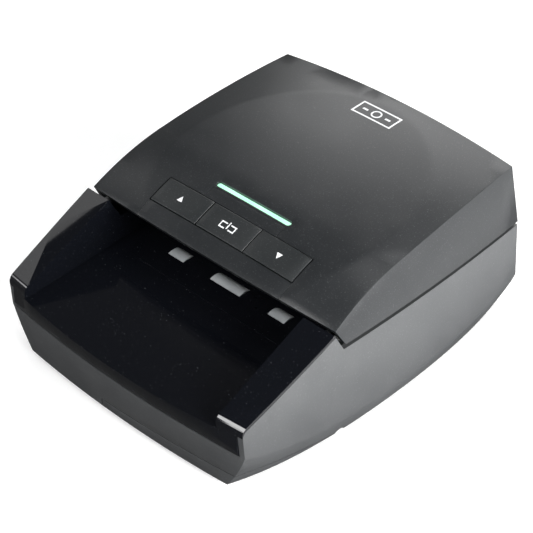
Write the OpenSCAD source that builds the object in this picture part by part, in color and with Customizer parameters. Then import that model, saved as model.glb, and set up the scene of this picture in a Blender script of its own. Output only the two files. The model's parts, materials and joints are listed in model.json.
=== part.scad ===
// Counterfeit bill detector for a checkout counter: base with an open note tray, hinged cover,
// three keys, a light bar, and the note transport inside.
// Millimetres, +Z up, +X right, the tray faces -Y. The feet stand on Z = 0.

/* [Outline] */
// Half of the greatest width, at the bottom of the side walls
half_w = 62.4; // [55:0.1:70]
// Radius of the outward bow of both side walls in plan
side_r = 865; // [400:5:2000]
// Position along the length where the sides are widest
side_y = 6; // [-20:1:30]
// Rearmost point of the base
rear_y = 76.45; // [70:0.05:85]
// Radius of the rear wall in plan
rear_r = 700; // [300:10:1500]
// Foremost point of the front crease
crease_y = -73.7; // [-80:0.1:-65]
// Radius of the front crease in plan
crease_r = 505; // [300:5:900]
// Foremost point of the tray lip
lip_y = -76.45; // [-85:0.05:-70]
// Radius of the tray lip in plan
lip_r = 322; // [200:1:600]
// Height of the front crease
crease_z = 20; // [15:0.5:25]
// Underside of the base above the counter
base_z = 2.5; // [1:0.1:5]
// Wall thickness of the base and the cover
wall = 2.2; // [1.6:0.1:3]

/* [Cover] */
// Highest point of the cover
top_z = 66.3; // [60:0.1:75]
// Radius of the long rear arc of the cover profile
back_arc = 560; // [300:5:900]
// Radius of the short front arc of the cover profile
front_arc = 95; // [70:1:140]
// Position where the two arcs meet
arc_join_y = 4.6; // [-10:0.1:20]
// Radius of the sideways crown of the cover
crown_r = 706; // [400:2:1200]
// Height of the cover seam at mid length
seam_z = 41.5; // [38:0.1:46]
// Fall of the seam towards the back, per millimetre
seam_fall = 0.016; // [0:0.001:0.05]
// Half of the dark gap between cover and base
seam_gap = 0.75; // [0.3:0.05:1]
// Lean of the front edges of the cover
front_lean = 28.6; // [15:0.1:40]

/* [Keys] */
// Width of one key
key_w = 22.8; // [15:0.1:25]
// Distance between neighbouring keys
key_pitch = 23.25; // [16:0.05:26]
// Length of a key along the slope
key_l = 11; // [8:0.1:14]
// Position of the key row
key_y = -17.75; // [-25:0.05:-10]
// Gap around each key
key_gap = 0.35; // [0.3:0.05:0.6]
// How far the key tops stand out of the cover
key_rise = 0.35; // [0:0.05:1]
// Length of the light bar
bar_l = 35.6; // [20:0.1:50]
// Width of the light bar
bar_w = 1.9; // [1.5:0.1:4]
// Position of the light bar
bar_y = -5.2; // [-10:0.1:5]
// How far the light bar sits back in its slot
bar_sink = 1; // [0:0.1:2]

/* [Tray] */
// Half of the distance between the wings
tray_half = 48; // [44:0.5:52]
// Height of the lip
lip_z = 29.2; // [26:0.1:32]
// Height of the note path
deck_z = 31; // [28:0.1:34]
// Thickness of the tray and the note deck
deck_t = 2.2; // [1.5:0.1:3]
// Slope of the wing tops, rise per millimetre
wing_rise = 0.436; // [0.2:0.001:0.6]
// Sideways fall of the wing tops in degrees
wing_fall = 5.53; // [0:0.01:15]
// Turn of the wing fronts in plan, so that they follow the lip
wing_turn = 9.8; // [0:0.1:20]
// Radius of the bend at the front of the wings
wing_bend = 3; // [2:0.1:6]
// Gap between the wings and the front of the cover
wing_gap = 1.9; // [1:0.1:3]

/* [Transport] */
// Position of the intake roller shaft
front_shaft_y = -17.8; // [-25:0.1:-10]
// Position of the exit roller shaft
rear_shaft_y = 52; // [40:0.5:60]
// Radius of the feed rollers
roller_r = 5.5; // [4:0.1:7]
// Radius of the shafts
shaft_r = 1.5; // [1:0.1:3]
// Radius of the pinch rollers
pinch_r = 4; // [3:0.1:5]
// Gear module
gear_m = 0.8; // [0.5:0.1:1.5]
// Teeth on the motor pinion
pinion_n = 10; // [8:1:16]
// Teeth on the shaft gear
gear_n = 30; // [20:2:40]
// Radius of the belt pulleys
pulley_r = 6; // [4:0.5:8]

/* [Hidden] */
$fn = 96;
fine_fn = 640;
eps = 0.01;
z_lo = -10;
z_hi = 90;
roller_z = deck_z + 0.3 - roller_r;
base_draft = 0.02;
cover_draft = 0.18;
crown_z = top_z - crown_r;
join_sin = (72 - arc_join_y) / back_arc;
join_cos = sqrt(1 - join_sin * join_sin);
arc2_z = top_z - back_arc;
arc1_y = arc_join_y + join_sin * front_arc;
arc1_z = arc2_z + join_cos * (back_arc - front_arc);
facet_y = 7.2;
facet_z = 132.3;
facet_c = 111.86;
facet_r = 63.6;
wing_y = -71.5;
wing_z = 34.2;
wing_front = -1.25;
hinge_y = 73.9;
hinge_z = 41;
hinge_r = 2.5;
hinge_x = 36;
plate_x = 44.5;
plate_t = 1.5;
motor_y = front_shaft_y + 13.6;
motor_z = roller_z - sqrt(pow(gear_m * (pinion_n + gear_n) / 2, 2) - 13.6 * 13.6);
roller_spans = [[-29, -21.2], [-7.4, 7.4], [21.2, 29]];
tray_back = -8;
bush_r = 2.3;
screw_pos = [[-51, -15], [51, -12], [-50, 62], [50, 62]];

// Height of the cover surface on the centre line in front of the arc joint
function cover_h(y) = arc1_z + sqrt(front_arc * front_arc - (arc1_y - y) * (arc1_y - y));
// Slope angle of the cover surface there
function cover_a(y) = asin((arc1_y - y) / front_arc);

// Height of the seam along the length
function seam_h(y) = seam_z - seam_fall * y;

// ---- drawing helpers ----

// Extrudes a (Y, Z) drawing from x0 to x1
module yz(x0, x1)
    translate([x0, 0, 0])
        rotate([90, 0, 90])
            linear_extrude(height = x1 - x0)
                children();

// Round bar along X
module bar_x(x0, x1, y, z, r)
    yz(x0, x1)
        translate([y, z])
            circle(r = r);

// Block given by its two corners
module block(a, b)
    translate(a)
        cube(b - a);

module both_sides() {
    children();
    mirror([1, 0, 0])
        children();
}

// Moves children to the cover surface on the centre line, Z along the surface normal
module on_cover(y)
    translate([0, y, cover_h(y)])
        rotate([cover_a(y), 0, 0])
            children();

// ---- outline surfaces, each as the solid inside it, d further in ----

// Side wall as a drum that leans inwards, x out at height z
module side_drum(x, z, draft, d)
    translate([x, side_y, z])
        rotate([0, -atan(draft), 0])
            translate([-side_r, 0, -60])
                cylinder(h = 120, r = side_r - d, $fn = fine_fn);

module between_walls(x, z, draft, d)
    intersection() {
        side_drum(x, z, draft, d);
        mirror([1, 0, 0])
            side_drum(x, z, draft, d);
    }

module base_sides(d)
    between_walls(half_w, 7.4, base_draft, d);

module cover_sides(d)
    between_walls(61.7, 42, cover_draft, d);

// Cone whose front edge passes through y at height z and moves out by lean per millimetre up
module front_cone(y, r, z, lean, d)
    translate([0, y + r, z_lo])
        cylinder(h = z_hi - z_lo,
                 r1 = r - d - lean * (z - z_lo),
                 r2 = r - d + lean * (z_hi - z), $fn = fine_fn);

module back_cone(y, z, draft, d)
    translate([0, y - rear_r, z_lo])
        cylinder(h = z_hi - z_lo,
                 r1 = rear_r - d + draft * (z - z_lo),
                 r2 = rear_r - d - draft * (z_hi - z), $fn = fine_fn);

// Inward slanting facet below the crease: a body of revolution about a line along X
module low_facet(d)
    translate([0, facet_y, facet_z])
        rotate([0, 90, 0])
            rotate_extrude() {
                translate([0, -facet_r + d])
                    square([facet_c, 2 * (facet_r - d)]);
                translate([facet_c, 0])
                    circle(r = facet_r - d);
            }

// Space above and below the seam, moved up by an offset
module above_seam(offset)
    yz(-75, 75)
        polygon([[-60, seam_h(-60) + offset], [90, seam_h(90) + offset], [90, 80], [-60, 80]]);

module below_seam(offset)
    yz(-75, 75)
        polygon([[-90, -20], [90, -20], [90, seam_h(90) + offset], [-90, seam_h(-90) + offset]]);

// Everything inside the base outline up to the height of the wings
module base_body(d)
    intersection() {
        base_sides(d);
        front_cone(crease_y, crease_r, crease_z, 0.06, d);
        back_cone(rear_y, 16, 0.07, d);
        low_facet(d);
        block([-80, -90, base_z + d], [80, 90, 60]);
    }

// Two-arc cover profile in (Z, Y), d inside the surface
module cover_profile(d)
    for (part = [0, 1])
        intersection() {
            translate(part == 0 ? [arc1_z, arc1_y] : [arc2_z, 72])
                circle(r = (part == 0 ? front_arc : back_arc) - d, $fn = fine_fn);
            translate([20 - d, part == 0 ? -60 - d : arc_join_y + join_sin * d])
                square([60, part == 0 ? 60 + d + arc_join_y + join_sin * d : 85 + d]);
        }

// Turns a (Z, Y) profile about the crown axis under the cover
module crowned()
    translate([0, 0, crown_z])
        mirror([0, 1, 0])
            rotate([90, 0, 0])
                rotate([0, 0, 82])
                    rotate_extrude(angle = 16, $fn = fine_fn)
                        translate([-crown_z, 0])
                            children();

module crown(d)
    crowned()
        cover_profile(d);

module crown_skin(d0, d1)
    crowned()
        difference() {
            cover_profile(d0);
            cover_profile(d1);
        }

// Space behind the leaning front edges of the cover
module behind_front(d)
    translate([0, -30.1 + d, 51.2])
        rotate([front_lean, 0, 0])
            translate([0, 1400, -100])
                cylinder(h = 130, r = 1400, $fn = fine_fn);

module cover_body(d)
    intersection() {
        crown(d);
        cover_sides(d);
        back_cone(74.8, 40.5, 0.062, d);
    }

// Space taken by the closed cover, grown by a gap, for trimming the base
module cover_space(gap)
    intersection() {
        behind_front(-gap);
        above_seam(-seam_gap);
    }

// Solid under the wing tops, lowered by d
module under_wings(d)
    both_sides()
        intersection() {
            block([tray_half - 6, -90, -5], [80, -5, 70]);
            translate([tray_half, wing_y, wing_z - d])
                rotate([0, wing_fall, wing_turn])
                    yz(-20, 30)
                        wing_profile();
        }

// Side view of a wing in (Y, Z), relative to the start of its slope, its bend in short flats
module wing_profile() {
    a = atan(wing_rise);
    y = wing_front + wing_bend;
    z = wing_rise * y - wing_bend / cos(a);
    flats = 7;
    polygon([[60, wing_rise * 60], [60, -40], [wing_front, -40],
             for (t = [90 : (a - 90) / flats : a - 0.1])
                 [y - wing_bend * sin(t), z + wing_bend * cos(t)]]);
}

// Inside of the black front face and lip
module tray_front(d)
    intersection() {
        front_cone(crease_y, crease_r, crease_z, 0.3, d);
        translate([0, lip_y + lip_r, z_lo])
            cylinder(h = z_hi - z_lo, r = lip_r - d, $fn = fine_fn);
    }

// ---- base ----

// Space of the battery door: below a tilted plane, plus the flat floor inside it
module door_space(gap) {
    side = -9.3 - gap;
    back = -24.4 + gap;
    intersection() {
        block([side, -90, -5], [80, back, 20]);
        translate([60, -24.4, base_z + gap])
            rotate([-atan(0.14), -atan(0.05), 0])
                block([-120, -90, -30], [40, 40, 0]);
    }
    intersection() {
        base_body(3 - gap);
        block([side, -90, -5], [80, back, base_z + wall + 0.1 + gap]);
    }
    block([side, -68, base_z - 1], [54, back, base_z + wall + gap]);
}

module base_shell()
    difference() {
        base_body(0);
        base_body(wall);
    }

// Outer walls of the base before openings are cut
module base_walls()
    difference() {
        base_shell();
        cover_space(wing_gap);
        // everything above the black wing tops
        difference() {
            block([-80, -90, crease_z], [80, -20, 60]);
            under_wings(1.35);
        }
        // only the side walls rise above the crease
        intersection() {
            base_sides(wall);
            block([-80, -90, crease_z], [80, -24, 60]);
        }
    }

module lower_housing() {
    color("dimgray")
    difference() {
        union() {
            base_walls();
            // ribs and posts standing on the floor
            intersection() {
                base_body(wall - eps);
                union() {
                    block([-1.5, -68, base_z], [0, -27, 24]);
                    block([48.2, -62, base_z], [49.7, -27, 24]);
                    block([-1.5, -28.5, base_z], [49.7, -27, 24]);
                    for (x = [-1.5, 48.2])
                        block([x, -28, base_z], [x + 1.5, -22.6, 16]);
                    for (p = screw_pos)
                        translate([p[0], p[1], base_z])
                            cylinder(h = 9, r = 4.2);
                    for (x = [-38, 38], y = [18, 66])
                        translate([x, y, base_z])
                            cylinder(h = 7.9 - base_z, r = 3);
                }
            }
            // hinge lugs
            both_sides()
                for (x = [hinge_x - 5.2, hinge_x + 2.4]) {
                    bar_x(x, x + 2.8, hinge_y, hinge_z, hinge_r);
                    block([x, hinge_y - 1.5, 36.8], [x + 2.8, hinge_y + 1.3, hinge_z - 1]);
                }
        }
        door_space(0.3);
        // finger notch behind the door
        translate([61.5, -24.4, base_z - 1.2])
            sphere(r = 3);
        // note exit
        block([-46.5, 60, deck_z - deck_t - 0.4], [46.5, 90, 36.8]);
        // room for the cover knuckles
        both_sides()
            block([hinge_x - 2.4, hinge_y - 4, hinge_z - 3.3], [hinge_x + 2.4, 90, 60]);
        both_sides()
            bar_x(hinge_x - 10, hinge_x + 10, hinge_y, hinge_z, 1.05);
        // rear sockets
        block([-34.6, 60, 9.3], [-25.4, 90, 20.7]);
        block([-9.2, 60, 9.3], [-0.8, 90, 13.5]);
        block([18.6, 60, 9.6], [33.4, 90, 20.4]);
        block([17.4, 75.3, 8.4], [34.6, 90, 21.6]);
        // screws and feet
        for (p = screw_pos)
            translate([p[0], p[1], base_z - 1]) {
                cylinder(h = 4, r = 3.4);
                cylinder(h = 9, r = 1.55);
            }
        for (p = [[-42, -60], [-44, 42], [44, 42]])
            translate([p[0], p[1], base_z - 1])
                cylinder(h = 1.8, r = 5.2);
    }
}

module battery_door() {
    color("dimgray")
    difference() {
        intersection() {
            base_shell();
            door_space(0);
        }
        translate([61.5, -24.4, base_z - 1.2])
            sphere(r = 3);
        translate([40, -60, base_z - 1])
            cylinder(h = 1.8, r = 5.2);
        // grip grooves
        for (i = [0 : 4])
            block([18, -34 - 3 * i, base_z - 1], [34, -33 - 3 * i, base_z + 0.6]);
    }
}

module foot(x, y)
    translate([x, y, 0]) {
        cylinder(h = 0.8, r1 = 4.3, r2 = 5);
        translate([0, 0, 0.8])
            cylinder(h = base_z - 0.05, r = 5);
    }

module feet() {
    color("black")
    for (p = [[-42, -60], [-44, 42], [44, 42]])
        foot(p[0], p[1]);
}

module door_foot() {
    color("black")
    foot(40, -60);
}

module case_screws() {
    color("silver")
    for (p = screw_pos)
        translate([p[0], p[1], base_z])
            difference() {
                union() {
                    translate([0, 0, 0.6])
                        cylinder(h = 2.3, r = 3);
                    cylinder(h = 7.6, r = 1.5);
                }
                translate([0, 0, -1])
                    cylinder(h = 2.6, r = 1.6, $fn = 6);
            }
}

module battery_pack() {
    color("steelblue")
    for (i = [0, 1])
        bar_x(4, 46, -57 + 19 * i, 14.5, 9);
    color("steelblue")
    block([8, -57, 5.7], [42, -38, 23.3]);
}

// ---- tray ----

module intake_tray() {
    color("black")
    difference() {
        union() {
            // wings and front face
            intersection() {
                base_sides(0);
                intersection() {
                    tray_front(0);
                    under_wings(0);
                    both_sides()
                        block([tray_half, -90, crease_z + 0.15], [80, -15, 60]);
                }
            }
            // front face and floor between the wings
            intersection() {
                tray_front(0);
                tray_floor(0);
                block([-tray_half - 1, -90, crease_z + 0.15], [tray_half + 1, -15, 60]);
            }
            tray_rear();
        }
        // hollow under the wings
        intersection() {
            base_sides(wall + 0.15);
            tray_front(2);
            under_wings(wall);
            both_sides()
                block([tray_half + 2, -90, 0], [80, -10, 60]);
        }
        // hollow under the floor
        intersection() {
            tray_front(2);
            tray_floor(deck_t);
        }
        // the matte side walls stand outside the black wings
        difference() {
            intersection() {
                under_wings(1.2);
                block([-80, -90, 0], [80, -10, 60]);
            }
            base_sides(wall + 0.15);
        }
        intersection() {
            cover_space(wing_gap);
            difference() {
                block([-80, -90, 30], [80, 0, 60]);
                block([-tray_half - 2, -90, 20], [tray_half + 2, 0, 41]);
            }
        }
        roller_slots(front_shaft_y);
        sensor_holes();
    }
}

// Everything below the sloping tray floor, d lower
module tray_floor(d)
    yz(-tray_half - 2.1, tray_half + 2.1)
        polygon([[-90, lip_z - d - 0.4], [lip_y, lip_z - d], [front_shaft_y - 3, deck_z - d],
                 [-15, deck_z - d], [-15, 0], [-90, 0]]);

// Floor and side walls that run on under the cover
module tray_rear() {
    block([-tray_half - 2, -30, deck_z - deck_t], [tray_half + 2, tray_back, deck_z]);
    both_sides()
        block([tray_half, -32, deck_z - deck_t], [tray_half + 2, tray_back, 40.6]);
}

module roller_slots(y)
    for (s = roller_spans)
        bar_x(s[0] - 0.35, s[1] + 0.35, y, roller_z, roller_r + 0.35);

module sensor_holes()
    for (p = [[12.3, -16.7], [12.3, -19.4], [16.2, -20.8]])
        translate([p[0], p[1], 25])
            cylinder(h = 10, r = 0.45);

module rear_deck() {
    color("black")
    difference() {
        union() {
            block([-tray_half, tray_back + 0.3, deck_z - deck_t], [tray_half, 73.4, deck_z]);
            both_sides()
                block([tray_half - 1.2, tray_back + 0.3, deck_z - deck_t],
                      [tray_half, 70, deck_z + 4.4]);
        }
        roller_slots(rear_shaft_y);
        block([-42.3, 13.7, deck_z - 1.1], [42.3, 30.3, deck_z + 1]);
        block([-40, 16, deck_z - 5], [40, 28, deck_z + 1]);
        both_sides()
            block([46.4, 60, 20], [60, 80, 60]);
    }
}

module lower_window() {
    color("lightblue")
    block([-42, 14, deck_z - 1.05], [42, 30, deck_z - 0.05]);
}

module lower_sensor_board() {
    color("green")
    block([-38, 14, 24.2], [38, 30, 25.4]);
    color("white")
    for (i = [-4 : 4])
        translate([8.4 * i, 22, 25.4])
            cylinder(h = 2.6, r = 1.6);
}

// ---- drive ----

module rollers(y)
    for (s = roller_spans)
        difference() {
            bar_x(s[0], s[1], y, roller_z, roller_r);
            bar_x(s[0] - 1, s[1] + 1, y, roller_z, shaft_r + 1);
        }

module roller_hubs(y)
    for (s = roller_spans)
        bar_x(s[0] + 0.3, s[1] - 0.3, y, roller_z, shaft_r + 1);

module feed_shaft_front() {
    color("silver")
    union() {
        bar_x(-56.2, 56, front_shaft_y, roller_z, shaft_r);
        roller_hubs(front_shaft_y);
    }
}

module feed_rollers_front() {
    color("gray")
    rollers(front_shaft_y);
}

module feed_shaft_rear() {
    color("silver")
    union() {
        bar_x(-56.2, 48, rear_shaft_y, roller_z, shaft_r);
        roller_hubs(rear_shaft_y);
    }
}

module feed_rollers_rear() {
    color("gray")
    rollers(rear_shaft_y);
}

// Gear drawn in its own plane, one tooth towards angle a
module gear(n, a) {
    p = gear_m * n / 2;
    root = p - 1.2 * gear_m;
    tip = p + 0.85 * gear_m;
    step = 360 / n;
    polygon([for (i = [0 : n - 1], c = [[root, -0.31], [tip, -0.11], [tip, 0.11], [root, 0.31]])
        c[0] * [cos(a + step * (i + c[1])), sin(a + step * (i + c[1]))]]);
}

module shaft_gear() {
    color("white")
    yz(51, 54.4)
        translate([front_shaft_y, roller_z])
            difference() {
                gear(gear_n, atan2(motor_z - roller_z, motor_y - front_shaft_y));
                circle(r = shaft_r);
                for (i = [0 : 4])
                    rotate(72 * i)
                        translate([6.2, 0])
                            circle(r = 2);
            }
}

module motor_pinion() {
    color("gold")
    yz(50.8, 54.6)
        translate([motor_y, motor_z])
            difference() {
                gear(pinion_n, 18 + atan2(roller_z - motor_z, front_shaft_y - motor_y));
                circle(r = 1);
            }
}

module drive_motor() {
    color("silver")
    difference() {
        union() {
            bar_x(14, 44.4, motor_y, motor_z, 10);
            bar_x(12, 14, motor_y, motor_z, 3);
            bar_x(44.4, 47, motor_y, motor_z, 3);
        }
        bar_x(40, 48, motor_y, motor_z, 1.06);
    }
}

module motor_shaft() {
    color("silver")
    bar_x(41, 54.8, motor_y, motor_z, 1);
}

module side_plate(x, motor)
    yz(x, x + plate_t)
        difference() {
            translate([-26, base_z + wall + 0.05])
                square([83, deck_z - deck_t - base_z - wall - 0.15]);
            for (y = [front_shaft_y, rear_shaft_y])
                translate([y, roller_z])
                    circle(r = bush_r + 0.05);
            if (motor)
                translate([motor_y, motor_z]) {
                    circle(r = 3.05);
                    for (a = [0, 180])
                        rotate(a)
                            translate([7, 0])
                                circle(r = 1.2);
                }
        }

module side_plates() {
    color("lightgray")
    side_plate(plate_x, true);
    color("lightgray")
    side_plate(-plate_x - plate_t, false);
}

module bushes() {
    color("goldenrod")
    for (y = [front_shaft_y, rear_shaft_y], x = [-plate_x - plate_t, plate_x])
        difference() {
            union() {
                bar_x(x - 0.6, x + plate_t + 0.02, y, roller_z, bush_r);
                bar_x(x < 0 ? x + plate_t : x - 0.8, x < 0 ? x + plate_t + 0.8 : x,
                      y, roller_z, bush_r + 0.35);
            }
            bar_x(x - 5, x + 6, y, roller_z, shaft_r + 0.04);
        }
}

module pulley(y)
    difference() {
        union() {
            bar_x(-55.3, -51.1, y, roller_z, pulley_r);
            bar_x(-55.7, -55, y, roller_z, pulley_r + 1.2);
            bar_x(-51.2, -50.5, y, roller_z, pulley_r + 1.2);
        }
        bar_x(-60, -40, y, roller_z, shaft_r);
    }

module front_pulley() {
    color("white")
    pulley(front_shaft_y);
}

module rear_pulley() {
    color("white")
    pulley(rear_shaft_y);
}

module belt_loop(r) {
    for (y = [front_shaft_y, rear_shaft_y])
        translate([y, roller_z])
            circle(r = r);
    translate([front_shaft_y, roller_z - r])
        square([rear_shaft_y - front_shaft_y, 2 * r]);
}

module drive_belt() {
    color("black")
    yz(-54.6, -51.6)
        difference() {
            belt_loop(pulley_r + 0.95);
            belt_loop(pulley_r + 0.05);
        }
}

// ---- electronics in the base ----

module main_board() {
    color("green")
    difference() {
        block([-42, 14, 8], [42, 70, 9.4]);
        for (x = [-38, 38], y = [18, 66])
            translate([x, y, 7])
                cylinder(h = 4, r = 1.6);
    }
}

module board_parts() {
    color("black")
    for (p = [[-20, 34, 14, 14, 1.6], [6, 36, 10, 10, 1.4], [24, 28, 8, 6, 1.6], [-36, 30, 6, 10, 5],
              [30, 44, 7, 4, 6], [-2, 56, 12, 5, 3]])
        translate([p[0], p[1], 9.4])
            cube([p[2], p[3], p[4]]);
    color("black")
    for (p = [[-28, 52], [-18, 54], [14, 56]])
        translate([p[0], p[1], 9.4])
            cylinder(h = 8, r = 3);
}

module dc_jack() {
    color("black")
    difference() {
        block([-34.5, 62, 9.45], [-25.5, 75.4, 20.5]);
        translate([-30, 63, 15])
            rotate([-90, 0, 0])
                cylinder(h = 20, r = 2.85);
    }
    color("silver")
    translate([-30, 63, 15])
        rotate([-90, 0, 0])
            cylinder(h = 11, r = 1);
}

module data_port() {
    color("silver")
    difference() {
        block([-9, 66, 9.45], [-1, 75.6, 13.3]);
        block([-8.4, 68, 10.05], [-1.6, 80, 12.7]);
    }
    color("black")
    block([-7, 68, 10.9], [-3, 74.8, 11.6]);
}

module switch_body() {
    color("black")
    difference() {
        union() {
            block([18.8, 64, 9.8], [33.2, 75.4, 20.2]);
            block([17.6, 75.4, 8.6], [34.4, 76.2, 21.4]);
        }
        block([20, 67, 11], [32, 90, 19]);
    }
}

module power_rocker() {
    color("black")
    yz(20.5, 31.5)
        difference() {
            translate([72, 15])
                circle(r = 3.7);
            translate([74.3, 10])
                rotate(8)
                    square([5, 10]);
            translate([60, 5])
                square([8.5, 20]);
        }
}

// ---- cover ----

module cover_shell()
    difference() {
        intersection() {
            cover_body(0);
            behind_front(0);
        }
        cover_body(wall);
        below_seam(seam_gap);
    }

// Column that the keypad bezel fills, g narrower all round
module bezel_column(g) {
    on_cover(key_y)
        block([-35.1 + g, -20, -8], [35.1 - g, 6.15 - g, 8]);
    on_cover(key_y)
        block([-17.6 + g, 0, -8], [17.6 - g, 10.9 - g, 8]);
}

module key_column(i, g, z0, z1)
    on_cover(key_y)
        translate([i * key_pitch - key_w / 2 - g, -key_l / 2 - g, z0])
            cube([key_w + 2 * g, key_l + 2 * g, z1 - z0]);

module bar_column(l, w, z0, z1)
    on_cover(bar_y)
        translate([0, 0, z0])
            linear_extrude(height = z1 - z0) {
                square([l - w, w], center = true);
                for (s = [-1, 1])
                    translate([s * (l - w) / 2, 0])
                        circle(r = w / 2);
            }

module upper_cover() {
    color("dimgray")
    difference() {
        union() {
            cover_shell();
            // skirt behind the seam gap
            intersection() {
                difference() {
                    cover_sides(wall - 0.2);
                    cover_sides(wall + 1.9);
                    difference() {
                        below_seam(seam_gap);
                        cover_sides(wall + 0.9);
                    }
                }
                below_seam(4);
                above_seam(-2.6);
                block([-80, -18, 30], [80, 66, 60]);
            }
            // hinge knuckles
            both_sides() {
                bar_x(hinge_x - 2, hinge_x + 2, hinge_y, hinge_z, hinge_r);
                block([hinge_x - 2, hinge_y - 2, hinge_z], [hinge_x + 2, hinge_y + 0.6, hinge_z + 6]);
            }
        }
        bezel_column(0);
        bar_column(bar_l + 0.5, bar_w + 0.5, -5, 5);
        // room for the base lugs
        both_sides() {
            block([hinge_x - 5.6, hinge_y - 2.9, 30], [hinge_x - 2, 90, hinge_z + 2.9]);
            block([hinge_x + 2, hinge_y - 2.9, 30], [hinge_x + 5.6, 90, hinge_z + 2.9]);
            bar_x(hinge_x - 10, hinge_x + 10, hinge_y, hinge_z, 1.05);
        }
    }
}

module hinge_pins() {
    color("silver")
    both_sides()
        bar_x(hinge_x - 5, hinge_x + 5, hinge_y, hinge_z, 1);
}

module keypad_bezel() {
    color("dimgray")
    union() {
        difference() {
            intersection() {
                cover_body(0);
                behind_front(0);
                bezel_column(0.12);
            }
            cover_body(wall);
            for (i = [-1 : 1])
                key_column(i, key_gap, -9, 9);
            bar_column(bar_l + 0.5, bar_w + 0.5, -5, 5);
        }
        // webs that run under the keys
        for (x = [-key_pitch / 2, key_pitch / 2])
            on_cover(key_y) {
                block([x - 1.2, -7.4, -5], [x + 1.2, 7.9, -3.8]);
                for (y = [-7.4, 6.4])
                    block([x - 1.2, y, -5], [x + 1.2, y + 1.5, -1.4]);
            }
    }
}

module key(i) {
    intersection() {
        key_column(i, 0, -6, 6);
        difference() {
            crown(-key_rise);
            crown(wall + 0.3);
        }
    }
    key_column(i, -5, -4, -1.6);
}

module key_up() {
    color("dimgray")
    key(-1);
}

module key_mode() {
    color("dimgray")
    key(0);
}

module key_down() {
    color("dimgray")
    key(1);
}

module light_bar() {
    color("palegreen")
    bar_column(bar_l, bar_w, -4, -bar_sink);
}

module light_board() {
    color("green")
    on_cover(bar_y)
        block([-21, -3, -6.6], [21, 3.2, -5.6]);
    color("white")
    for (i = [-2 : 2])
        on_cover(bar_y)
            translate([7 * i, 0, -5.6])
                block([-1.4, -0.9, 0], [1.4, 0.9, 1.4]);
}

module key_board() {
    color("green")
    on_cover(key_y)
        block([-36, -6.5, -10.2], [36, 6.5, -9]);
}

module key_switches() {
    color("black")
    for (i = [-1 : 1])
        on_cover(key_y)
            translate([i * key_pitch, 0, -9]) {
                block([-3, -3, 0], [3, 3, 3.2]);
                cylinder(h = 4.2, r = 1.6);
            }
}

// Funnel and flat upper wall of the note path
module upper_guide() {
    color("black")
    difference() {
        union() {
            intersection() {
                yz(-46.4, 46.4)
                    polygon([[-27.4, 48.2], [-12, 33.2], [-9, 32.8], [71, 32.8], [71, 34.6],
                             [-8.6, 34.6], [-11, 35.2], [-25, 49.6], [-27.4, 50.6]]);
                cover_body(wall + 0.1);
                behind_front(0.6);
            }
            intersection() {
                for (x = [-34, 34], y = [2, 64])
                    translate([x, y, 33.5])
                        cylinder(h = 40, r = 3);
                cover_body(wall + 0.05);
            }
        }
        for (s = roller_spans)
            block([s[0] - 0.4, rear_shaft_y - 4.4, 30], [s[1] + 0.4, rear_shaft_y + 4.4, 40]);
        block([-42.3, 13.7, 30], [42.3, 30.3, 33.9]);
        block([-40, 16, 30], [40, 28, 40]);
        for (x = [-24, 24])
            block([x - 4.3, 35.7, 30], [x + 4.3, 42.3, 40]);
    }
}

module upper_window() {
    color("lightblue")
    block([-42, 14, 32.85], [42, 30, 33.85]);
}

module upper_sensor_board() {
    color("green")
    block([-44, 12, 38], [44, 32, 39.2]);
    color("white")
    for (i = [-4 : 4])
        translate([8.4 * i, 22, 35.4])
            cylinder(h = 2.6, r = 1.6);
}

module magnetic_heads() {
    color("silver")
    for (x = [-24, 24]) {
        intersection() {
            block([x - 4, 36, 32], [x + 4, 42, 41]);
            bar_x(x - 4, x + 4, 39, 37.8, 6);
        }
        block([x - 4, 36, 37.5], [x + 4, 42, 41]);
    }
}

module pinch_axle() {
    color("silver")
    bar_x(-34, 34, rear_shaft_y, deck_z + 0.7 + pinch_r, 1);
}

module pinch_rollers() {
    color("white")
    for (s = roller_spans)
        difference() {
            bar_x(s[0], s[1], rear_shaft_y, deck_z + 0.7 + pinch_r, pinch_r);
            bar_x(s[0] - 1, s[1] + 1, rear_shaft_y, deck_z + 0.7 + pinch_r, 1);
        }
}

module pinch_carrier() {
    color("black")
    difference() {
        union() {
            for (x = [-33, -15, 13, 31])
                block([x, rear_shaft_y - 3, 34.7], [x + 2, rear_shaft_y + 3, 43.4]);
            block([-33, rear_shaft_y - 3, 41.4], [33, rear_shaft_y + 3, 43.4]);
        }
        bar_x(-50, 50, rear_shaft_y, deck_z + 0.7 + pinch_r, 1.06);
    }
}

lower_housing();
battery_door();
feet();
door_foot();
case_screws();
battery_pack();
intake_tray();
rear_deck();
lower_window();
lower_sensor_board();
feed_shaft_front();
feed_rollers_front();
feed_shaft_rear();
feed_rollers_rear();
shaft_gear();
motor_pinion();
drive_motor();
motor_shaft();
side_plates();
bushes();
front_pulley();
rear_pulley();
drive_belt();
main_board();
board_parts();
dc_jack();
data_port();
switch_body();
power_rocker();
upper_cover();
hinge_pins();
keypad_bezel();
key_up();
key_mode();
key_down();
light_bar();
light_board();
key_board();
key_switches();
upper_guide();
upper_window();
upper_sensor_board();
magnetic_heads();
pinch_axle();
pinch_rollers();
pinch_carrier();
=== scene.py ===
import json
import math

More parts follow.
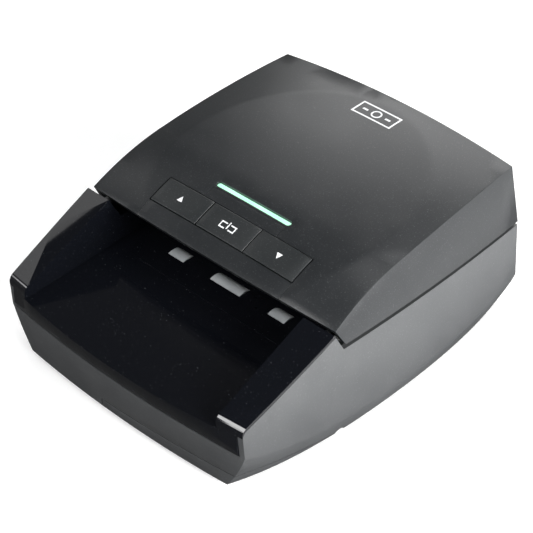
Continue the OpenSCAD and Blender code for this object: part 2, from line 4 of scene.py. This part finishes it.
import bmesh
import bpy
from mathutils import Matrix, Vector


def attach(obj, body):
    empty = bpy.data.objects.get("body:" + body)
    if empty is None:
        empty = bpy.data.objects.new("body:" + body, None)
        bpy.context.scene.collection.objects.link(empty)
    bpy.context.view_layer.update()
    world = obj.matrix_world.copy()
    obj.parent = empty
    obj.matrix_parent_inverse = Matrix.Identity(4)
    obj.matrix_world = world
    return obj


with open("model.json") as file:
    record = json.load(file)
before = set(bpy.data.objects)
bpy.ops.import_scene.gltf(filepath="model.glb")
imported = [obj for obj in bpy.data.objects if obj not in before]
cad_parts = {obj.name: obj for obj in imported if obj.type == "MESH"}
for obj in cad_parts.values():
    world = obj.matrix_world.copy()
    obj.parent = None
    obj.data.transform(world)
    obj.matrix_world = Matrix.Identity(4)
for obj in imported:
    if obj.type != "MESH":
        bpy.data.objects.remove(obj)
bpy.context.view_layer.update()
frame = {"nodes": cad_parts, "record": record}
NODES = frame["nodes"]
MM = 0.001

# ---------------------------------------------------------------- cover surface, as in the CAD

TOP_Z, BACK_ARC, FRONT_ARC, CROWN_R, JOIN_Y = 66.3, 560.0, 95.0, 706.0, 4.6
JOIN_SIN = (72 - JOIN_Y) / BACK_ARC
JOIN_COS = math.sqrt(1 - JOIN_SIN ** 2)
ARC2_Z = TOP_Z - BACK_ARC
ARC1_Y = JOIN_Y + JOIN_SIN * FRONT_ARC
ARC1_Z = ARC2_Z + JOIN_COS * (BACK_ARC - FRONT_ARC)


def cover_z(x, y):
    """Height in mm of the cover surface over a point in mm."""
    if y < JOIN_Y:
        z = ARC1_Z + math.sqrt(FRONT_ARC ** 2 - (ARC1_Y - y) ** 2)
    else:
        z = ARC2_Z + math.sqrt(BACK_ARC ** 2 - (y - 72) ** 2)
    r = z - (TOP_Z - CROWN_R)
    return TOP_Z - CROWN_R + math.sqrt(r * r - x * x)


# ---------------------------------------------------------------- node helpers

class Mat:
    """Small wrapper round a material's node tree."""

    def __init__(self, name):
        self.mat = bpy.data.materials.new(name)
        self.mat.use_nodes = True
        self.tree = self.mat.node_tree
        self.bsdf = self.tree.nodes["Principled BSDF"]

    def set(self, **values):
        for key, value in values.items():
            self.bsdf.inputs[key.replace("_", " ")].default_value = value
        return self

    def node(self, kind, **props):
        n = self.tree.nodes.new(kind)
        for k, v in props.items():
            setattr(n, k, v)
        return n

    def link(self, a, b):
        self.tree.links.new(a, b)

    def coords(self):
        return self.node("ShaderNodeTexCoord").outputs["Object"]

    def noise(self, scale, detail=2.0, rough=0.5, vec=None):
        n = self.node("ShaderNodeTexNoise")
        n.inputs["Scale"].default_value = scale
        n.inputs["Detail"].default_value = detail
        n.inputs["Roughness"].default_value = rough
        self.link(vec or self.coords(), n.inputs["Vector"])
        return n.outputs["Fac"]

    def ramp(self, fac, stops):
        n = self.node("ShaderNodeValToRGB")
        els = n.color_ramp.elements
        while len(els) < len(stops):
            els.new(0.5)
        for e, (pos, col) in zip(els, stops):
            e.position = pos
            e.color = (*col, 1) if len(col) == 3 else col
        self.link(fac, n.inputs["Fac"])
        return n.outputs["Color"]

    def range(self, fac, lo, hi, from_lo=0.3, from_hi=0.7):
        n = self.node("ShaderNodeMapRange")
        n.inputs["From Min"].default_value = from_lo
        n.inputs["From Max"].default_value = from_hi
        n.inputs["To Min"].default_value = lo
        n.inputs["To Max"].default_value = hi
        self.link(fac, n.inputs["Value"])
        return n.outputs["Result"]

    def math(self, op, a, b=None, c=None):
        n = self.node("ShaderNodeMath", operation=op)
        for i, v in enumerate((a, b, c)):
            if v is None:
                continue
            if isinstance(v, (int, float)):
                n.inputs[i].default_value = v
            else:
                self.link(v, n.inputs[i])
        return n.outputs[0]

    def mix(self, fac, a, b, blend="MIX"):
        n = self.node("ShaderNodeMix", data_type="RGBA", blend_type=blend)
        for sock, v in ((n.inputs["Factor"], fac), (n.inputs["A"], a), (n.inputs["B"], b)):
            if isinstance(v, (int, float)):
                sock.default_value = v
            elif isinstance(v, tuple):
                sock.default_value = (*v, 1)
            else:
                self.link(v, sock)
        return n.outputs["Result"]

    def bump(self, height, strength, distance, normal=None):
        n = self.node("ShaderNodeBump")
        n.inputs["Strength"].default_value = strength
        n.inputs["Distance"].default_value = distance
        self.link(height, n.inputs["Height"])
        if normal is not None:
            self.link(normal, n.inputs["Normal"])
        return n.outputs["Normal"]

    def out(self, **links):
        for key, sock in links.items():
            self.link(sock, self.bsdf.inputs[key.replace("_", " ")])
        return self.mat


def plastic(name, dark, light, rough=(0.38, 0.5), grain=2600.0, depth=0.00003, ior=1.46):
    """Moulded plastic: fine spark-eroded grain, faint blotches, slightly uneven gloss."""
    m = Mat(name).set(IOR=ior)
    blot = m.noise(55, 4, 0.55)
    speck = m.noise(grain * 0.8, 1, 0.5)
    base = m.ramp(blot, [(0.3, dark), (0.7, light)])
    fleck = m.ramp(speck, [(0.62, (0, 0, 0)), (0.8, (0.35, 0.36, 0.37))])
    color = m.mix(0.12, base, fleck, "ADD")
    fine = m.noise(grain, 2, 0.6)
    return m.out(Base_Color=color, Roughness=m.range(blot, *rough),
                 Normal=m.bump(fine, 0.35, depth))


def gloss(name, color, rough=0.06):
    """Piano black: deep gloss with very faint swirl marks, dust and orange peel."""
    m = Mat(name).set(IOR=1.5)
    peel = m.noise(160, 2, 0.5)
    scuff = m.noise(900, 3, 0.6)
    dust = m.ramp(m.noise(1900, 1, 0.5), [(0.73, (0, 0, 0)), (0.8, (0.25, 0.26, 0.28))])
    base = m.mix(0.25, color, dust, "ADD")
    return m.out(Base_Color=base, Roughness=m.range(scuff, rough, rough + 0.05),
                 Normal=m.bump(peel, 0.05, 0.00004))


def metal(name, color, rough=(0.22, 0.38), stretch=(1, 60, 60)):
    """Machined or drawn metal with streaks along one direction."""
    m = Mat(name).set(Metallic=1.0)
    mapping = m.node("ShaderNodeMapping")
    mapping.inputs["Scale"].default_value = stretch
    m.link(m.coords(), mapping.inputs["Vector"])
    streak = m.noise(60, 3, 0.6, mapping.outputs["Vector"])
    dull = tuple(c * 0.72 for c in color)
    return m.out(Base_Color=m.ramp(streak, [(0.3, dull), (0.7, color)]),
                 Roughness=m.range(streak, *rough), Normal=m.bump(streak, 0.12, 0.00005))


def rubber(name, dark, light, grain=1500):
    m = Mat(name).set(IOR=1.5)
    fine = m.noise(grain, 3, 0.7)
    wear = m.noise(120, 3, 0.6)
    return m.out(Base_Color=m.ramp(wear, [(0.35, dark), (0.7, light)]),
                 Roughness=m.range(wear, 0.62, 0.85), Normal=m.bump(fine, 0.5, 0.00008))


def board(name):
    """Solder mask over copper tracks."""
    m = Mat(name).set(IOR=1.5)
    brick = m.node("ShaderNodeTexBrick", offset=0.5)
    brick.inputs["Scale"].default_value = 260
    brick.inputs["Mortar Size"].default_value = 0.12
    m.link(m.coords(), brick.inputs["Vector"])
    tracks = m.ramp(brick.outputs["Fac"], [(0.2, (0.008, 0.075, 0.03)), (0.8, (0.02, 0.16, 0.06))])
    blot = m.noise(90, 3, 0.5)
    return m.out(Base_Color=m.mix(m.range(blot, 0.0, 0.5), tracks, (0.012, 0.10, 0.045)),
                 Roughness=m.range(blot, 0.25, 0.4),
                 Normal=m.bump(brick.outputs["Fac"], 0.25, 0.00004))


MATS = {
    "base_plastic": plastic("base_plastic", (0.050, 0.052, 0.054), (0.060, 0.062, 0.064)),
    "key_plastic": plastic("key_plastic", (0.015, 0.017, 0.018), (0.02, 0.022, 0.023), (0.3, 0.4)),
    "inner_black": plastic("inner_black", (0.008, 0.008, 0.009), (0.014, 0.014, 0.015),
                           (0.3, 0.45)),
    "gloss_black": gloss("gloss_black", (0.003, 0.0035, 0.005)),
    "chips": plastic("chips", (0.012, 0.012, 0.013), (0.03, 0.03, 0.032), (0.4, 0.6)),
    "white_plastic": plastic("white_plastic", (0.62, 0.62, 0.6), (0.72, 0.72, 0.69), (0.35, 0.5)),
    "foot_rubber": rubber("foot_rubber", (0.012, 0.012, 0.013), (0.03, 0.03, 0.031)),
    "roller_rubber": rubber("roller_rubber", (0.33, 0.35, 0.36), (0.43, 0.45, 0.46), 2200),
    "belt_rubber": rubber("belt_rubber", (0.012, 0.012, 0.012), (0.025, 0.025, 0.025)),
    "steel": metal("steel", (0.62, 0.62, 0.64)),
    "screw_steel": metal("screw_steel", (0.5, 0.5, 0.53), (0.3, 0.45), (20, 20, 20)),
    "brass": metal("brass", (0.72, 0.53, 0.24)),
    "pcb": board("pcb"),
}


def make_cell_wrap():
    m = Mat("cell_wrap").set(IOR=1.5)
    wrinkle = m.noise(220, 4, 0.6)
    return m.out(Base_Color=m.ramp(wrinkle, [(0.3, (0.02, 0.08, 0.22)), (0.7, (0.04, 0.14, 0.34))]),
                 Roughness=m.range(wrinkle, 0.2, 0.35), Normal=m.bump(wrinkle, 0.4, 0.0002))


def make_glass():
    m = Mat("sensor_glass").set(IOR=1.5, Alpha=0.5)
    film = m.noise(140, 3, 0.5)
    return m.out(Base_Color=m.ramp(film, [(0.3, (0.03, 0.035, 0.04)), (0.7, (0.05, 0.055, 0.07))]),
                 Roughness=m.range(film, 0.03, 0.09))


def make_lamp():
    """Light bar diffuser: glows a little less towards the gaps between its lamps."""
    m = Mat("lamp").set(IOR=1.46, Roughness=0.3, Emission_Strength=1.5)
    wave = m.node("ShaderNodeTexWave", wave_type="BANDS", bands_direction="X")
    wave.inputs["Scale"].default_value = 22.7
    wave.inputs["Phase Offset"].default_value = 1.57
    m.link(m.coords(), wave.inputs["Vector"])
    cloud = m.noise(400, 2, 0.5)
    glow = m.ramp(wave.outputs["Fac"], [(0.0, (0.3, 0.62, 0.43)), (1.0, (0.38, 0.72, 0.52))])
    return m.out(Base_Color=m.ramp(cloud, [(0.3, (0.15, 0.4, 0.25)), (0.7, (0.22, 0.5, 0.32))]),
                 Emission_Color=glow, Normal=m.bump(cloud, 0.1, 0.00003))


# The flat tongue on the cover: an ellipse about (0, TONGUE_Y), in metres, and the slope outside it
TONGUE_Y, TONGUE_A, TONGUE_B, TONGUE_SLOPE = 0.011, 0.0485, 0.0565, 0.11


def make_cover():
    """Matte cover plastic; its rim falls away a little all round a long flat tongue."""
    m = Mat("cover_plastic").set(IOR=1.46)
    place = m.node("ShaderNodeSeparateXYZ")
    m.link(m.coords(), place.inputs["Vector"])
    across = m.math("MULTIPLY", place.outputs["X"], 1 / TONGUE_A)
    along = m.math("MULTIPLY_ADD", place.outputs["Y"], 1 / TONGUE_B, -TONGUE_Y / TONGUE_B)
    across_sq = m.math("MULTIPLY", across, across)
    along_sq = m.math("MULTIPLY", along, along)
    radius = m.math("SQRT", m.math("ADD", across_sq, along_sq))
    rim = m.math("SMOOTH_MAX", m.math("SUBTRACT", radius, 1.0), 0.0, 0.05)
    tongue = m.bump(m.math("MULTIPLY", rim, -TONGUE_A * TONGUE_SLOPE), 1.0, 1.0)
    blot = m.noise(55, 4, 0.55)
    fleck = m.ramp(m.noise(2100, 1, 0.5), [(0.62, (0, 0, 0)), (0.8, (0.35, 0.36, 0.37))])
    base = m.ramp(blot, [(0.3, (0.0125, 0.014, 0.0155)), (0.7, (0.0155, 0.017, 0.0185))])
    grain = m.bump(m.noise(2600, 2, 0.6), 0.35, 0.00003, tongue)
    return m.out(Base_Color=m.mix(0.12, base, fleck, "ADD"),
                 Roughness=m.range(blot, 0.29, 0.35), Normal=grain)


MATS["cover_plastic"] = make_cover()
MATS["cell_wrap"] = make_cell_wrap()
MATS["sensor_glass"] = make_glass()
MATS["lamp"] = make_lamp()

# ---------------------------------------------------------------- CAD nodes: finish, rounded edges

EDGE_MM = {
    "lower_housing": 0.6, "battery_door": 0.4, "intake_tray": 0.45, "upper_cover": 0.35,
    "keypad_bezel": 0.18, "key_up": 0.25, "key_mode": 0.25, "key_down": 0.25,
    "feet": 0.4, "door_foot": 0.4, "rear_deck": 0.25, "upper_guide": 0.25,
    "power_rocker": 0.25, "switch_body": 0.3, "battery_pack": 0.5, "light_bar": 0.2,
}
slots = {s["node"]: s["material_slot"] for s in frame["record"]["subparts"]}
for name, obj in NODES.items():
    obj.data.materials.clear()
    obj.data.materials.append(MATS[slots[name]])
    weld = obj.modifiers.new("weld", "WELD")
    weld.merge_threshold = 0.000002
    if name in EDGE_MM:
        bev = obj.modifiers.new("edge", "BEVEL")
        bev.width = EDGE_MM[name] * MM
        bev.segments = 3
        bev.limit_method = "ANGLE"
        bev.angle_limit = math.radians(28)
        bev.use_clamp_overlap = True
        bev.harden_normals = True

# ---------------------------------------------------------------- printed symbols

def make_ink():
    m = Mat("white_ink").set(IOR=1.5)
    wear = m.noise(700, 3, 0.6)
    return m.out(Base_Color=m.ramp(wear, [(0.3, (0.66, 0.67, 0.68)), (0.6, (0.8, 0.81, 0.82))]),
                 Roughness=m.range(wear, 0.35, 0.5), Normal=m.bump(wear, 0.1, 0.00002))


INK = make_ink()
INK_TOP, INK_FOOT = 0.04, -0.02  # mm above and below the surface it is printed on


def offset_loop(loop, d):
    """Loop of points moved to its left by d, with mitred corners."""
    out = []
    for i, p in enumerate(loop):
        a, b = Vector(p) - Vector(loop[i - 1]), Vector(loop[(i + 1) % len(loop)]) - Vector(p)
        na, nb = Vector((-a.y, a.x)).normalized(), Vector((-b.y, b.x)).normalized()
        out.append(Vector(p) + (na + nb) * (d / (1 + na.dot(nb))))
    return out


def split_loop(loop, step=0.8):
    out = []
    for i, p in enumerate(loop):
        q = loop[(i + 1) % len(loop)]
        n = max(1, round((Vector(q) - Vector(p)).length / step))
        out += [(p[0] + (q[0] - p[0]) * k / n, p[1] + (q[1] - p[1]) * k / n) for k in range(n)]
    return out


def printed(name, rings, fills, place, body, rise):
    """Thin ink film, in mm about a place on the cover: rings are (loop, width), fills are loops."""
    bm = bmesh.new()

    def vert(p, lift):
        x, y = p[0] + place[0], p[1] + place[1]
        return bm.verts.new((x * MM, y * MM, (cover_z(x, y) + rise + lift) * MM))

    def film(outer, inner=None):
        top_o, low_o = [[vert(p, h) for p in outer] for h in (INK_TOP, INK_FOOT)]
        n = len(outer)
        for i in range(n):
            bm.faces.new((low_o[i], low_o[(i + 1) % n], top_o[(i + 1) % n], top_o[i]))
        if inner is None:
            bm.faces.new(top_o)
            bm.faces.new(low_o[::-1])
            return
        top_i, low_i = [[vert(p, h) for p in inner] for h in (INK_TOP, INK_FOOT)]
        for i in range(n):
            j = (i + 1) % n
            bm.faces.new((top_i[i], top_i[j], low_i[j], low_i[i]))
            bm.faces.new((top_o[i], top_o[j], top_i[j], top_i[i]))
            bm.faces.new((low_i[i], low_i[j], low_o[j], low_o[i]))

    for loop, width in rings:
        loop = split_loop(loop)
        film(offset_loop(loop, -width / 2), offset_loop(loop, width / 2))
    for loop in fills:
        film(loop)
    bmesh.ops.recalc_face_normals(bm, faces=bm.faces)
    me = bpy.data.meshes.new(name)
    bm.to_mesh(me)
    bm.free()
    me.materials.append(INK)
    obj = bpy.data.objects.new(name, me)
    bpy.context.collection.objects.link(obj)
    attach(obj, body)


def box_loop(x0, y0, x1, y1):
    return [(x0, y0), (x1, y0), (x1, y1), (x0, y1)]


def circle_loop(x, y, r, n=24):
    turns = [2 * math.pi * k / n for k in range(n)]
    return [(x + r * math.cos(t), y + r * math.sin(t)) for t in turns]


def bracket_loop(side):
    """Square bracket that opens towards the middle, on the side -1 or 1, as an outline."""
    inner, arm, outer = 0.9 * side, 3.1 * side, 3.6 * side
    high, low = 1.3 * side, 0.8 * side
    return [(inner, high), (inner, low), (arm, low), (arm, -low),
            (inner, -low), (inner, -high), (outer, -high), (outer, high)]


KEY_RISE = 0.35  # how far the key tops stand out of the cover
KEY_X, KEY_MARK_Y = 23.9, -17.7
printed("mark_up", [], [[(-1.25, -1.0), (1.25, -1.0), (0, 1.2)]],
        (-KEY_X, KEY_MARK_Y), "key_left", KEY_RISE)
printed("mark_down", [], [[(-1.25, 1.0), (0, -1.2), (1.25, 1.0)]],
        (KEY_X, KEY_MARK_Y), "key_right", KEY_RISE)
printed("mark_mode", [], [bracket_loop(-1), box_loop(-0.25, -0.9, 0.25, 1.9), bracket_loop(1)],
        (0, -18.2), "key_middle", KEY_RISE)
printed("mark_note", [(box_loop(-9, -3.6, 9, 3.6), 0.7), (circle_loop(0, 0, 1.9), 0.6)],
        [box_loop(-6.6, -0.45, -4.2, 0.45), box_loop(4.2, -0.45, 6.6, 0.45)],
        (0, 60.5), "cover", 0.0)

# ---------------------------------------------------------------- stage, light, camera

def make_floor():
    """Pale floor, self-lit a little. Only the camera sees it pale all over: to reflections and
    bounced light it is near black as far as the right side of the object, and pale beyond."""
    me = bpy.data.meshes.new("floor")
    s = 2.5
    me.from_pydata([(-s, -s, 0), (s, -s, 0), (s, s, 0), (-s, s, 0)], [], [(0, 1, 2, 3)])
    floor = bpy.data.objects.new("floor", me)
    bpy.context.collection.objects.link(floor)
    m = Mat("floor_paper").set(Roughness=0.9, Specular_IOR_Level=0.1, Emission_Strength=0.2)
    fibre = m.noise(300, 3, 0.6)
    place = m.node("ShaderNodeSeparateXYZ")
    m.link(m.coords(), place.inputs["Vector"])
    rightwards = m.math("MULTIPLY_ADD", place.outputs["X"], 9.0, -0.35)
    side = m.ramp(rightwards, [(0.2, (0.05, 0.05, 0.05)), (0.5, (0.95, 0.95, 0.95))])
    seen = m.node("ShaderNodeLightPath").outputs["Is Camera Ray"]
    pale = m.ramp(fibre, [(0.3, (0.91, 0.91, 0.91)), (0.7, (0.93, 0.93, 0.93))])
    me.materials.append(m.out(Base_Color=m.mix(seen, side, pale),
                              Emission_Color=m.mix(seen, (0.1, 0.1, 0.1), (1.0, 1.0, 1.0))))


def area_light(name, place, target, size, power, size_y=None):
    data = bpy.data.lights.new(name, "AREA")
    data.shape = "RECTANGLE"
    data.size = size
    data.size_y = size_y or size
    data.energy = power
    obj = bpy.data.objects.new(name, data)
    obj.location = place
    obj.rotation_euler = (Vector(target) - Vector(place)).to_track_quat("-Z", "Y").to_euler()
    bpy.context.collection.objects.link(obj)


def make_world():
    """Dim surroundings, lighter towards the horizon than overhead."""
    world = bpy.data.worlds.new("studio")
    world.use_nodes = True
    sky = world.node_tree
    coord = sky.nodes.new("ShaderNodeTexCoord")
    split = sky.nodes.new("ShaderNodeSeparateXYZ")
    height = sky.nodes.new("ShaderNodeValToRGB")
    sky.links.new(coord.outputs["Generated"], split.inputs["Vector"])
    sky.links.new(split.outputs["Z"], height.inputs["Fac"])
    sky.links.new(height.outputs["Color"], sky.nodes["Background"].inputs["Color"])
    stops = height.color_ramp.elements
    stops[0].position, stops[0].color = 0.0, (0.5, 0.5, 0.5, 1)
    stops[1].position, stops[1].color = 0.9, (0.1, 0.1, 0.1, 1)
    stops.new(0.5).color = (0.4, 0.4, 0.4, 1)
    stops.new(0.68).color = (0.12, 0.12, 0.12, 1)
    sky.nodes["Background"].inputs["Strength"].default_value = 0.42
    bpy.context.scene.world = world


make_floor()
make_world()
area_light("key_right", (1.1, 0.0, 0.36), (0, 0, 0.03), 0.75, 37)
area_light("top_soft", (0.1, 0.3, 1.3), (0, 0, 0.03), 0.5, 3.5)
area_light("back_sheen", (-0.40, 0.92, 0.66), (0, 0, 0.05), 0.9, 5.2, size_y=0.55)
area_light("bend_strip", (-0.09, -0.69, 0.46), (0.05, -0.09, 0.03), 0.12, 4.2, size_y=0.8)
area_light("lip_strip", (-0.48, -0.62, 0.42), (0, -0.08, 0.03), 0.9, 2.0, size_y=0.12)
area_light("left_card", (-0.96, -0.01, 0.81), (-0.05, -0.06, 0.035), 0.34, 0.42)

CAMERA_PLACE = (0.36671, -0.38217, 0.44631)
CAMERA_AZIMUTH, CAMERA_ELEVATION = math.radians(43.709), math.radians(38.239)
SENSOR_MM = 36
LENS_MM = 1850 / 533 * SENSOR_MM


def make_camera():
    data = bpy.data.cameras.new("camera")
    data.sensor_width = SENSOR_MM
    data.lens = LENS_MM
    camera = bpy.data.objects.new("camera", data)
    level = math.cos(CAMERA_ELEVATION)
    back = Vector((math.sin(CAMERA_AZIMUTH) * level, -math.cos(CAMERA_AZIMUTH) * level,
                   math.sin(CAMERA_ELEVATION)))
    camera.location = CAMERA_PLACE
    camera.rotation_euler = (-back).to_track_quat("-Z", "Y").to_euler()
    bpy.context.collection.objects.link(camera)
    bpy.context.scene.camera = camera


make_camera()
bpy.context.scene.view_settings.view_transform = "Standard"
